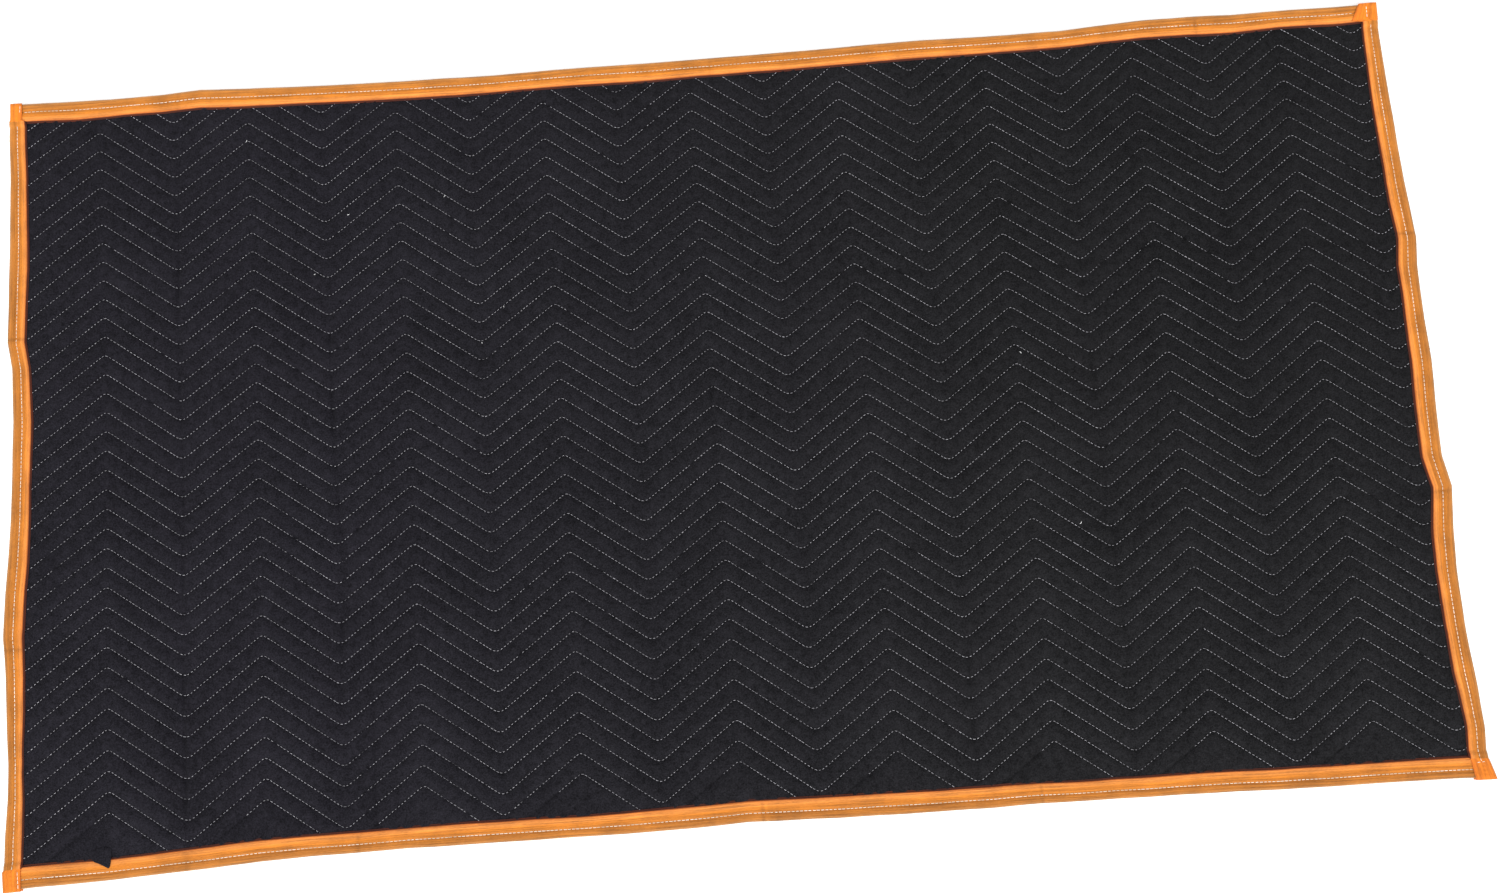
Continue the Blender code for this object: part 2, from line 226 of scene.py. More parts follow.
# Outline of a binding 25 mm wide, from its fold inwards over the upper leaf: the distance in from the
# fold, and the height over the leaf's underside along the strip and on the caps. The rest of it, over the
# lower leaf, has the same heights everywhere.
NOMINAL_WIDTH = 25.0
SEAM_INWARD = 10.8
# The upper leaf's points past 25 mm make a thin low lip beyond the inner edge, which the bands paint dark as
# shade beside that edge
UPPER_LEAF = np.array((
    (0, -0.6, -0.6), (0.12, 0.2, 0.45), (0.5, 0.66, 0.95), (1.2, 0.92, 1.28), (2.6, 1.08, 1.48),
    (4.6, 1.14, 1.55), (6.6, 1.1, 1.56), (8.2, 1.02, 1.54), (9.3, 0.82, 1.52), (10.2, 0.5, 1.5),
    (SEAM_INWARD, 0.42, 1.5), (11.4, 0.55, 1.5), (12.3, 1.02, 1.52), (13.5, 1.3, 1.54),
    (15.2, 1.42, 1.52), (17, 1.54, 1.48), (18.2, 1.72, 1.5), (19, 1.8, 1.54), (19.8, 1.74, 1.56),
    (21, 1.58, 1.55), (22.6, 1.5, 1.5), (23.8, 1.38, 1.36), (24.5, 1.15, 1.1), (25, 0.78, 0.76),
    (25.5, 0.48, 0.48), (26.3, 0.34, 0.34), (26.9, 0.24, 0.24), (27.2, 0.1, 0.1), (26.4, 0, 0),
    (13, 0, 0), (1.6, 0, 0),
))
LOWER_LEAF = np.array((
    (1.05, 1.6), (1.6, 1), (13, 1), (24.3, 1), (24.9, 0.78), (24.9, 0.22), (24.3, 0), (18, 0), (12, 0.06),
    (SEAM_INWARD, 0.4), (9.6, 0.06), (4, 0), (1.3, 0), (0.4, 0.36), (0, 1.2),
))
OUTLINE = np.vstack([UPPER_LEAF, LOWER_LEAF[:, [0, 1, 1]]])
# What differs between the bindings: how far in the seam runs and from where to where, the folds that cross
# the binding, as (place along it, width, depth), and its widths, as (place along it, width)
Binding = namedtuple("Binding", "seam_inward seam_span kinks widths")
BINDINGS = {
    "top_binding": Binding(11.4, (-896, 886), ((671, 2.6, 0.8), (-690, 3, 0.7), (20, 3, 0.4)), (
        (-880, 25.4), (-820, 26.8), (-760, 24.4), (-640, 26.4), (-580, 25.2), (-480, 25.1), (-320, 26.1),
        (-230, 24.8), (-80, 26.2), (0, 24.6), (120, 25.5), (320, 25.6), (410, 24.2), (560, 24.2),
        (640, 26.1), (720, 26.2), (780, 24.4), (850, 25.4), (880, 24.4),
    )),
    "bottom_binding": Binding(10.3, (-894, 898), (
        (18, 2.2, 0.8), (23, 2, -0.4), (36, 3, 0.5), (362, 2.4, 0.8), (-480, 3, 0.5), (-690, 4, 0.6),
    ), (
        (-880, 26.2), (-740, 25), (-640, 27), (-480, 25.1), (-360, 26.7), (-200, 25.4), (-80, 26.8),
        (20, 27.2), (120, 26.5), (160, 27.3), (240, 26), (320, 26.4), (400, 24.3), (560, 25.3),
        (880, 25.2),
    )),
    "left_binding": Binding(12.3, (-484, 483), ((186, 2.6, 0.8), (178, 5, -0.4), (-215, 3, 0.7)), (
        (-470, 21.8), (-445, 22.3), (-370, 18.2), (-345, 18.4), (-290, 21.6), (-230, 23.4), (-190, 25.3),
        (-70, 25), (-10, 23.6), (50, 24.5), (180, 22.4), (280, 24.5), (390, 21.9), (450, 21),
    )),
    "right_binding": Binding(12, (-488, 483), ((190, 2.6, 0.8), (-150, 3, 0.8), (-432, 4, 0.5)), (
        (-440, 22.2), (-380, 26.2), (-330, 24.4), (-210, 27), (-150, 25.1), (-70, 26.4), (-10, 26.4),
        (110, 24.1), (150, 25.6), (190, 24), (230, 25.4), (280, 23.8), (350, 24.4), (470, 21),
    )),
}
BINDING_STEP = 6.0
LEAF_SKIN = 0.3
BINDING_SWELL = 0.2
SWELL_SIZE_ALONG = 28.0
SWELL_STRETCH = 6.0
OUTER_WAVE = 0.35
INNER_WAVE = 0.3
WAVE_SIZE = 38.0
CAP_RISE_RUN = 5.0
END_ROUNDING = 0.45

# The ends of the short bindings, by side and direction: how long each is, how far it reaches past the
# long edge, and how far its outer and inner edges stray along X at the root and at the end
Cap = namedtuple("Cap", "length reach outer_root outer_end inner_root inner_end")
CAPS = {
    (-1, 1): Cap(24.6, 0.3, 1.4, 0.9, -4.2, -4.2),
    (-1, -1): Cap(24.3, 2.2, -1.8, -0.2, -0.4, 0),
    (1, 1): Cap(25, 0.3, 0.6, 1.3, -14.6, -2.3),
    (1, -1): Cap(23.5, 2.2, 0.4, 7.2, 0.4, 3),
}
CAP_LIP_CUT = 0.9
CAP_ROOT_RUN = 2.5
# The short rows of stitches on those ends: the x and y where each starts and stops
CAP_SEAMS = {
    "left_binding": ((-899.5, 505.5, -900, 491), (-896.6, -486, -895.2, -507.5)),
    "right_binding": ((900.6, 504.5, 900, 488.5), (899, -489.2, 912.5, -488.4)),
}

# Stations at a fold that crosses a binding, as shares of its width
KINK_STATIONS = (-1.6, -0.9, -0.4, 0.0, 0.4, 0.9, 1.6)
# Painted shade: how much darker a fold that crosses a binding makes its cloth for each millimetre of its
# depth; one that stands up is painted lighter
KINK_SHADE = 0.22

# Binding thread
SEAM_STITCH_PITCH = 5.2
SEAM_STITCHES = (5.1, 5.1)
SEAM_RINGS = (0.15, 0.85)
SEAM_STITCH_RADIUS = 0.45
SEAM_SHINE_SIZE = 22.0
CAP_STITCH_RADIUS = 0.45

# The pinch of cloth over the bottom binding: y, x, half its width, and the heights of its top and underside
PINCH = (
    (-466, -797, 15, 5.6, 5), (-471, -796, 14.5, 7.1, 5), (-476.5, -795, 13.5, 7.6, 5),
    (-480.5, -794, 12.4, 7.7, 5.6), (-484, -792.6, 10.2, 7.8, 6.3), (-487.5, -789.2, 6.6, 7.7, 6.5),
    (-491, -786.4, 3.2, 7.5, 6.5), (-493.2, -785.4, 0.9, 7.1, 6.5),
)
PINCH_SIDES = 16
PINCH_FOLD = 0.35

# Specks of lint on the cloth: x, y, length and turn
LINT = (
    (-468, 323, 3.4, 20), (-341, 341, 4.2, 75), (391, 69, 3.4, 130), (444, -159, 3.8, 50),
    (-514, 244, 2.4, 35), (-270, 183, 2.4, 110), (-302, 136, 2.2, 150), (-600, 434, 2.4, 60),
)
LINT_RADIUS = 0.45
LINT_BEND = 0.25

# Camera, light and floor
CAMERA_LENS = 34.62
CAMERA_PLACE = (0.02985, -0.31789, 1.82251)
CAMERA_TURN = (9.018, 0.5145, -4.238)
FLOOR_HALF = 30.0
FLOOR_DROP = 0.2
WORLD_STRENGTH = 1.4
SOFTBOX_PLACE = (-0.5, -6.5, 4.2)
SOFTBOX_TURN = (57.2, 0, -4.4)
SOFTBOX_SIZE = (5.0, 3.5)
SOFTBOX_POWER = 813.0

# Colours, as linear red, green and blue, in pairs that a noise or a place chooses between
BLACK = ((0.0083, 0.0082, 0.0091), (0.0085, 0.0079, 0.0107))
# The black has more blue to the left, and painted shade darkens it round one place, where the light falls
# off
COOL_RUN = (-0.5, 0.35)
PAINTED_SHADE_PLACE = (0.72, 0.20, 0.0)
PAINTED_SHADE_RUN = (0.10, 0.55)
PAINTED_SHADE_SHARE = 0.86
# The quilting is one thread: the rising stretches are painted a little lighter than the falling ones, as
# painted light for how the light falls on each direction
RISING_THREAD = ((0.12, 0.117, 0.127), (0.43, 0.42, 0.45))
FALLING_THREAD = ((0.11, 0.107, 0.117), (0.4, 0.39, 0.42))
SEAM_THREAD = ((0.44, 0.36, 0.26), (0.74, 0.69, 0.6))
LINT_THREAD = ((0.36, 0.36, 0.36), (0.58, 0.58, 0.58))
FLOOR = ((0.84, 0.84, 0.84), (0.88, 0.88, 0.88))
# Across a binding, by the share of its width from the fold to the inner edge. The first stop is painted
# shade at the outer fold, and the last two paint shade at the inner edge and on the lip past it
STRIP_BANDS = (
    (0, (0.247, 0.137, 0.066)), (0.06, (0.285, 0.124, 0.035)), (0.14, (0.298, 0.104, 0.016)),
    (0.3, (0.294, 0.099, 0.011)), (0.37, (0.278, 0.09, 0.01)), (0.43, (0.32, 0.108, 0.015)),
    (0.52, (0.325, 0.104, 0.01)), (0.62, (0.36, 0.112, 0.009)), (0.7, (0.42, 0.134, 0.014)),
    (0.78, (0.47, 0.162, 0.029)), (0.86, (0.46, 0.157, 0.03)), (0.94, (0.4, 0.123, 0.023)),
    (0.97, (0.245, 0.058, 0.009)), (1, (0.04, 0.006, 0.001)),
)
CAP_BANDS = (
    (0, (0.33, 0.122, 0.03)), (0.08, (0.45, 0.122, 0.009)), (0.5, (0.485, 0.129, 0.008)),
    (0.9, (0.455, 0.12, 0.009)), (1, (0.385, 0.092, 0.009)),
)
# How much of the bindings' mottle comes from streaks along them
STRIP_STREAKS = 0.55
CAP_STREAKS = 0.5
# Painted light: the bindings are lighter towards the top edge, where more light falls
PAINTED_LIGHT_RUN = (-0.5, 0.5)
PAINTED_LIGHT_SHARE = 1.19

# A wave texture's bands repeat this many times its scale, in radians
WAVE_RATE = 20.0
SHEEN_ROUGHNESS = 0.6
# How far from a binding's seam its cloth puckers, as a share of the width
PUCKER_RUN = 0.16


def smooth_noise(x, y, size, seed):
    """Values from -1 to 1 that change smoothly over that size, and are the same each time."""
    cells = 128
    lattice = np.random.default_rng(seed).uniform(-1, 1, (cells, cells))
    across, up = x / size % cells, y / size % cells
    i, j = np.floor(across).astype(int), np.floor(up).astype(int)
    s, t = across - i, up - j
    s, t = s * s * (3 - 2 * s), t * t * (3 - 2 * t)
    i, j = i % cells, j % cells
    right, above = (i + 1) % cells, (j + 1) % cells
    near = lattice[i, j] * (1 - s) + lattice[right, j] * s
    far = lattice[i, above] * (1 - s) + lattice[right, above] * s
    return near * (1 - t) + far * t


def ramp(value, start, end):
    """0 before start, 1 after end, and straight between them."""
    return np.clip((value - start) / (end - start), 0.0, 1.0)


def soft_ramp(value, start, end):
    share = ramp(value, start, end)
    return share * share * (3 - 2 * share)


def lie(x, y):
    """Where a point of the true rectangle lies on the floor; an edge's stray fades out inwards."""
    to_right, to_top = (1 + x / HALF_LENGTH) / 2, (1 + y / HALF_WIDTH) / 2
    left, right = (np.interp(y, SHORT_EDGES[:, 0], SHORT_EDGES[:, column]) for column in (1, 2))
    top, bottom = (np.interp(x, LONG_EDGES[:, 0], LONG_EDGES[:, column]) for column in (1, 2))
    along_x = to_right**EDGE_FADE * right + (1 - to_right) ** EDGE_FADE * left
    along_y = to_top**EDGE_FADE * top + (1 - to_top) ** EDGE_FADE * bottom
    return x + along_x, y + along_y


def unlie(x, y):
    """Which point of the true rectangle lies at a place on the floor."""
    flat_x, flat_y = x, y
    for _ in range(UNLIE_ROUNDS):
        laid_x, laid_y = lie(flat_x, flat_y)
        flat_x, flat_y = flat_x + x - laid_x, flat_y + y - laid_y
    return flat_x, flat_y


def rounded(distance, run):
    """A distance from a corner, eased so that a line drawn with it has no kink there."""
    eased = distance**2 / (2 * run) + run / 2
    return np.where(distance < run, eased, distance)


def from_peak(x):
    return np.abs((x - FIRST_PEAK_X + ZIGZAG_PERIOD / 2) % ZIGZAG_PERIOD - ZIGZAG_PERIOD / 2)


def zigzag(x):
    """How far a row stands above its mean line."""
    peak = from_peak(x)
    valley = ZIGZAG_PERIOD / 2 - peak
    upper = ZIGZAG_RISE / 2 - ZIGZAG_SLOPE * rounded(peak, PEAK_RUN)
    lower = ZIGZAG_SLOPE * rounded(valley, VALLEY_RUN) - ZIGZAG_RISE / 2
    return np.where(peak < valley, upper, lower)


def stray(x, y):
    """How far the quilting strays at a place of its drawn course."""
    column = np.interp(x, STRAY_COLUMNS, range(len(STRAY_COLUMNS)))
    row = np.interp(y, STRAY_ROWS, range(len(STRAY_ROWS) - 1, -1, -1))
    i = np.minimum(column.astype(int), len(STRAY_COLUMNS) - 2)
    j = np.minimum(row.astype(int), len(STRAY_ROWS) - 2)
    right, down = column - i, row - j

    def blend(table):
        upper = table[j, i] * (1 - right) + table[j, i + 1] * right
        lower = table[j + 1, i] * (1 - right) + table[j + 1, i + 1] * right
        return upper * (1 - down) + lower * down

    return blend(STRAY_X), blend(STRAY_Y) + WANDER * smooth_noise(x, y, WANDER_SIZE, seed=1)


def sewn_at(x, mean_y):
    """Where on the floor a point lies that is drawn at that height over a row's mean line."""
    y = mean_y + zigzag(x)
    along_x, along_y = stray(x, y)
    return x + along_x, y + along_y


def drawn_at(x, y):
    """The drawn X and the mean height of the row through a place on the floor."""
    drawn_x, drawn_y = x, y
    for _ in range(UNLIE_ROUNDS):
        along_x, along_y = stray(drawn_x, drawn_y)
        drawn_x, drawn_y = x - along_x, y - along_y
    return drawn_x, drawn_y - zigzag(drawn_x)


def from_seam(x, y):
    above = drawn_at(x, y)[1] - LOWEST_ROW
    between = above % ROW_PITCH
    return np.where(above > 0, np.minimum(between, ROW_PITCH - between), -above)


def dome(x, y):
    """0 on a seam and 1 on the crown between two seams."""
    share = np.minimum(from_seam(x, y) / (ROW_PITCH / 2), 1.0)
    return 1 - (1 - share) ** DOME_POWER


def openness(x, y):
    """0 where the panel is pressed to a hem, and 1 where it keeps its full height."""
    from_left = soft_ramp(x, HEM_LEFT, HEM_LEFT + HEM_SLOPE_RUN)
    from_right = soft_ramp(-x, -HEM_RIGHT, HEM_SLOPE_RUN - HEM_RIGHT)
    from_long_edge = soft_ramp(-np.abs(y), -HEM_Y, HEM_SLOPE_RUN - HEM_Y)
    return np.minimum(np.minimum(from_left, from_right), from_long_edge)


def distance_to_course(x, y, course):
    """The distance to a course of straight stretches, and the place along it of the nearest point."""
    nearest = np.full(x.shape, np.inf)
    place = np.zeros(x.shape)
    start = 0.0
    for (x0, y0), (x1, y1) in zip(course, course[1:]):
        run, rise = x1 - x0, y1 - y0
        length = np.hypot(run, rise)
        along = np.clip(((x - x0) * run + (y - y0) * rise) / length, 0.0, length)
        share = along / length
        distance = np.hypot(x - x0 - share * run, y - y0 - share * rise)
        closer = distance < nearest
        nearest = np.where(closer, distance, nearest)
        place = np.where(closer, start + along, place)
        start += length
    return nearest, place


def creased(x, y):
    """How much lower the creases make the cloth, stronger and weaker along their course."""
    total = np.zeros(x.shape)
    for number, (course, width, depth) in enumerate(CREASES):
        distance, place = distance_to_course(x, y, course)
        change = smooth_noise(place, 0, CREASE_CHANGE_SIZE, seed=100 + number)
        strength = CREASE_STRENGTH + CREASE_CHANGE * change
        total += depth * strength * np.exp(-((distance / width) ** 2))
    return total


def crumpled(x, y):
    total = np.zeros(x.shape)
    for number, (middle_x, middle_y, radius, height) in enumerate(CRUMPLES):
        share = np.exp(-(((x - middle_x) / radius) ** 2) - ((y - middle_y) / radius) ** 2)
        across = (x + CRUMPLE_SLANT[0] * y) / CRUMPLE_SIZE[0]
        up = (y + CRUMPLE_SLANT[1] * x) / CRUMPLE_SIZE[1]
        total += height * share * smooth_noise(across, up, 1.0, seed=200 + number)
    return total


def face_height(x, y):
    """The height of the panel's upper face over a point of the true rectangle."""
    laid = lie(x, y)
    full = 1 + CROWN_CHANGE * smooth_noise(*laid, SWELL_SIZE / 2, seed=2)
    height = SEAM_HEIGHT + (CROWN_HEIGHT - SEAM_HEIGHT) * full * dome(*laid)
    height += SWELL * smooth_noise(*laid, SWELL_SIZE, seed=3)
    height += DIMPLE * smooth_noise(*laid, DIMPLE_SIZE, seed=4)
    height += crumpled(*laid) - creased(*laid)
    height = np.maximum(height, MID_LAYER + CLEARANCE)
    return HEM_TOP + (height - HEM_TOP) * openness(x, y)


def corner_lift(x):
    at_left = ramp(-x, -HEM_LEFT - HEM_SLOPE_RUN, -HEM_LEFT)
    at_right = ramp(x, LIFTED_RIGHT - HEM_SLOPE_RUN, LIFTED_RIGHT)
    return CORNER_LIFT * np.maximum(at_left, at_right)


def back_height(x, y):
    """The height of the panel's underside: on the floor, but for its seams and its hem."""
    in_corner = corner_lift(x) * ramp(np.abs(y), HEM_Y - HEM_SLOPE_RUN, HEM_Y)
    hem = HEM_BOTTOM + in_corner
    height = BACK_SEAM_HEIGHT * (1 - dome(*lie(x, y)))
    return hem + (height - hem) * openness(x, y)


def fold_shade(x, y):
    """The painted shade of the cloth in its creases and beside its seams, and painted light on creases that
    stand up, at a place on the floor.
    """
    in_crease = CREASE_SHADE * creased(x, y)
    by_seam = SEAM_SHADE * np.exp(-((from_seam(x, y) / SEAM_SHADE_WIDTH) ** 2))
    return np.clip(in_crease + by_seam, -0.2, DEEPEST_PAINTED_SHADE)


def set_shade(mesh, shade):
    """Leave the painted shade of each point with its mesh, where the material reads it."""
    layer = mesh.attributes.new("shade", "FLOAT", "POINT")
    layer.data.foreach_set("value", np.ravel(shade).astype(np.float32))


def mesh_from(name, points, faces):
    """A mesh of points in millimetres, laid down on the floor."""
    points = np.array(points, dtype=float).reshape(-1, 3)
    points[:, 0], points[:, 1] = lie(points[:, 0], points[:, 1])
    mesh = bpy.data.meshes.new(name)
    mesh.from_pydata((points * MM).tolist(), [], faces)
    mesh.update()
    mesh.shade_smooth()
    return mesh


def new_object(name, data, place=(0, 0, 0), turn=(0, 0, 0)):
    item = bpy.data.objects.new(name, data)
    item.location = place
    item.rotation_euler = [radians(angle) for angle in turn]
    bpy.context.scene.collection.objects.link(item)
    return item


def new_piece(name, mesh, materials, node=None):
    """An object of the pad, with its materials, fixed to the root body, hiding the model's part that it
    stands for, if any.
    """
    piece = new_object(name, mesh)
    for material in materials:
        mesh.materials.append(material)
    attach(piece, "root")
    if node:
        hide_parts(node)
    return piece


def grid_columns(offsets):
    """Grid lines at these distances to both sides of every corner of the zigzag."""
    corners = FIRST_PEAK_X + (np.arange(2 * PEAK_COUNT + 1) - 1) * ZIGZAG_PERIOD / 2
    near = np.add.outer(corners, np.array(offsets))
    far = np.subtract.outer(corners, np.array(offsets))
    lines = np.unique(np.round(np.concatenate([near.ravel(), far.ravel(), CREASE_COLUMNS]), 2))
    return lines[np.abs(lines) < HALF_LENGTH + GRID_SPARE]


def grid_rows(offsets, below):
    """Mean heights of grid lines at these distances over every seam, and under the lowest seam."""
    seams = LOWEST_ROW + np.arange(ROW_COUNT + 4) * ROW_PITCH
    over = np.add.outer(seams, np.array(offsets)).ravel()
    under = LOWEST_ROW - np.array(below)
    highest = HALF_WIDTH + ZIGZAG_RISE / 2 + GRID_SPARE
    return np.sort(np.concatenate([under, over[over < highest]]))


def quilted_grid(columns, rows):
    """A flat grid whose lines follow the zigzag, cut off straight at the hem's edges."""
    drawn_x, mean_y = np.meshgrid(columns, rows, indexing="ij")
    x, y = unlie(*sewn_at(drawn_x, mean_y))
    points = np.stack([x, y, np.zeros(x.shape)], axis=-1)
    number = np.arange(x.size).reshape(x.shape)
    quads = np.stack([number[:-1, :-1], number[1:, :-1], number[1:, 1:], number[:-1, 1:]], axis=-1)
    mesh = bpy.data.meshes.new("grid")
    mesh.from_pydata(points.reshape(-1, 3).tolist(), [], quads.reshape(-1, 4).tolist())
    bm = bmesh.new()
    bm.from_mesh(mesh)
    bpy.data.meshes.remove(mesh)
    for across, up in ((-1, 0), (1, 0), (0, -1), (0, 1)):
        geometry = [*bm.verts, *bm.edges, *bm.faces]
        edge, outward = (across * HEM_EDGE_X, up * HEM_EDGE_Y, 0), (across, up, 0)
        bmesh.ops.bisect_plane(bm, geom=geometry, plane_co=edge, plane_no=outward, clear_outer=True)
    return bm


def close_layer(bm, base):
    """Draw the rim of an open layer to the height of its flat face, and fill that face."""
    rim = [edge for edge in bm.edges if edge.is_boundary]
    drawn = bmesh.ops.extrude_edge_only(bm, edges=rim)["geom"]
    for vert in drawn:
        if isinstance(vert, bmesh.types.BMVert):
            vert.co.z = base
    rim = [edge for edge in bm.edges if edge.is_boundary]
    bmesh.ops.holes_fill(bm, edges=rim, sides=0)
    bmesh.ops.recalc_face_normals(bm, faces=bm.faces)


def panel_layer(name, grid, height, base):
    """A closed layer of the panel, from its quilted face to a flat one inside the panel."""
    bm = quilted_grid(*grid)
    places = np.array([vert.co[:2] for vert in bm.verts])
    for vert, z in zip(bm.verts, height(places[:, 0], places[:, 1])):
        vert.co.z = z
    close_layer(bm, base)
    bm.verts.index_update()
    points = [vert.co[:] for vert in bm.verts]
    faces = [[vert.index for vert in face.verts] for face in bm.faces]
    bm.free()
    mesh = mesh_from(name, points, faces)
    # Painted shade of the creases and seams, kept on the mesh for the material
    set_shade(mesh, fold_shade(*lie(*np.array(points)[:, :2].T)))
    return mesh


def add_panel(cloth):
    layers = (
        ("quilt_face", FACE_COLUMNS, FACE_LINES, FACE_LINES_BELOW, face_height, MID_LAYER),
        ("quilt_back", BACK_COLUMNS, BACK_LINES, BACK_LINES_BELOW, back_height, BACK_LAYER),
    )
    for name, columns, lines, below, height, base in layers:
        grid = grid_columns(columns), grid_rows(lines, below)
        mesh = panel_layer(name, grid, height, base)
        piece = new_piece(name, mesh, [cloth], "quilted_panel")


def tube_faces(rings, sides):
    """The faces of a closed tube: quads round it and one face at each end."""
    number = np.arange(rings * sides).reshape(rings, sides)
    after = np.roll(number, -1, axis=1)
    quads = np.stack([number[:-1], after[:-1], after[1:], number[1:]], axis=-1)
    return [*quads.reshape(-1, 4).tolist(), number[0, ::-1].tolist(), number[-1].tolist()]


def add_pinch(cloth):
    turns = np.arange(PINCH_SIDES) * 2 * np.pi / PINCH_SIDES
    rings = []
    for y, middle_x, half_width, top, bottom in PINCH:
        x = middle_x - half_width * np.cos(turns)
        half = (top - bottom) / 2 * np.sin(turns) * (1 - PINCH_FOLD * np.cos(3 * turns) ** 2)
        rings.append(np.stack([x, np.full(x.shape, y), (top + bottom) / 2 + half], axis=-1))
    mesh = mesh_from("cloth_pinch", rings, tube_faces(len(PINCH), PINCH_SIDES))
    piece = new_piece("cloth_pinch", mesh, [cloth], "quilted_panel")


# A course of stitches: its points, the length up to each, and their drawn X
Course = namedtuple("Course", "x y length drawn_x")


def course_through(x, y, drawn_x=None):
    steps = np.hypot(np.diff(x), np.diff(y))
    return Course(x, y, np.concatenate([[0.0], np.cumsum(steps)]), x if drawn_x is None else drawn_x)


def stitch_spans(course, pitch, lengths, rng):
    """The start and the end of each stitch, as lengths along the course."""
    middles = np.arange(pitch / 2, course.length[-1] - pitch / 2, pitch)
    middles += rng.uniform(-STITCH_JITTER, STITCH_JITTER, middles.size)
    half = np.where(rising(np.interp(middles, course.length, course.drawn_x)), *lengths) / 2
    half = half * rng.uniform(*STITCH_SPREAD, middles.size)
    return np.stack([middles - half, middles + half], axis=-1)


def spindles(course, spans, height, radius, rings):
    """The points of thin spindles of thread along a course: a tip, rings of four points, and a tip."""
    shares = np.array([0.0, *rings, 1.0])
    along = spans[:, :1] + shares * (spans[:, 1:] - spans[:, :1])
    x, y = np.interp(along, course.length, course.x), np.interp(along, course.length, course.y)
    middle = np.stack([x, y, height(x, y)], axis=-1)
    run = middle[:, -1, :2] - middle[:, 0, :2]
    run /= np.linalg.norm(run, axis=1, keepdims=True)
    aside = radius * np.stack([-run[:, 1], run[:, 0], np.zeros(len(run))], axis=-1)
    upward = np.broadcast_to((0.0, 0.0, radius), aside.shape)
    around = np.stack([aside, upward, -aside, -upward], axis=1)
    sides = middle[:, 1:-1, None] + around[:, None]
    tips = middle[:, [0, -1]] - (0.0, 0.0, np.sign(radius) * SUNK)
    return np.concatenate([tips[:, :1], sides.reshape(len(run), -1, 3), tips[:, 1:]], axis=1)


def spindle_faces(rings):
    """The faces of one spindle, as numbers of its points."""
    last = 4 * rings + 1
    faces = []
    for side in range(4):
        after = (side + 1) % 4
        faces.append((0, 1 + after, 1 + side))
        faces.append((last, last - 4 + side, last - 4 + after))
        for ring in range(rings - 1):
            first = 1 + 4 * ring
            faces.append((first + side, first + after, first + 4 + after, first + 4 + side))
    return faces


def thread_mesh(name, stitches, rings):
    """One mesh of many stitches, from the points of each."""
    size = 4 * rings + 2
    one = spindle_faces(rings)
    starts = range(0, size * len(stitches), size)
    faces = [[start + corner for corner in face] for start in starts for face in one]
    return mesh_from(name, stitches, faces)


def rising(x):
    return (x - FIRST_PEAK_X) % ZIGZAG_PERIOD > ZIGZAG_PERIOD / 2


def shown_in_lowest_row(x):
    """The lowest row is sewn through on its falling stretches, and near the peaks of its rising ones."""
    next_peak = np.ceil((x - FIRST_PEAK_X) / ZIGZAG_PERIOD).astype(int)
    reach = np.array(LOWEST_STRETCHES)[np.clip(next_peak, 0, PEAK_COUNT - 1)]
    to_peak = FIRST_PEAK_X + next_peak * ZIGZAG_PERIOD - x
    return ~rising(x) | (to_peak < reach)


def quilting_stitches(height, radius, rings, lengths, seed):
    """The points of every stitch of all rows, and whether it lies on a rising stretch."""
    rng = np.random.default_rng(seed)
    drawn_x = np.arange(-HALF_LENGTH, HALF_LENGTH, COURSE_STEP)
    points, on_rise = [], []
    for row in range(ROW_COUNT):
        laid = sewn_at(drawn_x, np.full(drawn_x.shape, LOWEST_ROW + row * ROW_PITCH))
        course = course_through(*unlie(*laid), drawn_x)
        spans = stitch_spans(course, STITCH_PITCH, lengths, rng)
        middles = spans.mean(axis=1)
        x, y, drawn = (np.interp(middles, course.length, line) for line in (course.x, course.y, drawn_x))
        kept = (x > HEM_LEFT - THREAD_SPARE) & (x < HEM_RIGHT + THREAD_SPARE)
        kept &= (np.abs(y) < HEM_Y + THREAD_SPARE) & (rng.uniform(size=x.size) > MISSED_SHARE)
        if row == 0:
            kept &= shown_in_lowest_row(drawn)
        points.append(spindles(course, spans[kept], height, radius, rings))
        on_rise.append(rising(drawn[kept]))
    return np.concatenate(points), np.concatenate(on_rise)


def add_quilting(rising_thread, falling_thread):
    face, on_rise = quilting_stitches(face_height, STITCH_RADIUS, FACE_RINGS, FACE_STITCHES, 5)
    back, _ = quilting_stitches(back_height, -STITCH_RADIUS, BACK_RINGS, BACK_STITCHES, 6)
    batches = (
        ("quilting_rising", face[on_rise], 2, rising_thread),
        ("quilting_falling", face[~on_rise], 2, falling_thread),
        ("quilting_back", back, 1, rising_thread),
    )
    for name, stitches, rings, thread in batches:
        new_piece(name, thread_mesh(name, stitches, rings), [thread])


def add_lint(thread):
    """Bent wisps of lint that lie on the cloth."""
    shares, around = np.linspace(-1, 1, 7), np.arange(6) * np.pi / 3
    radius = LINT_RADIUS * np.sqrt(1.04 - shares[:, None] ** 2)
    aside, upward = radius * np.cos(around), radius * np.sin(around)
    points, faces = [], []
    for number, (middle_x, middle_y, length, degrees) in enumerate(LINT):
        turn = radians(degrees)
        run, bend = shares * length / 2, LINT_BEND * length * shares**2
        x = middle_x + run * np.cos(turn) - bend * np.sin(turn)
        y = middle_y + run * np.sin(turn) + bend * np.cos(turn)
        z = face_height(x, y) + LINT_RADIUS / 2
        ring_x = x[:, None] - aside * np.sin(turn)
        ring_y = y[:, None] + aside * np.cos(turn)
        points.append(np.stack([ring_x, ring_y, z[:, None] + upward], axis=-1))
        first = number * aside.size
        faces += [[first + corner for corner in face] for face in tube_faces(*aside.shape)]
    new_piece("lint", mesh_from("lint", points, faces), [thread])


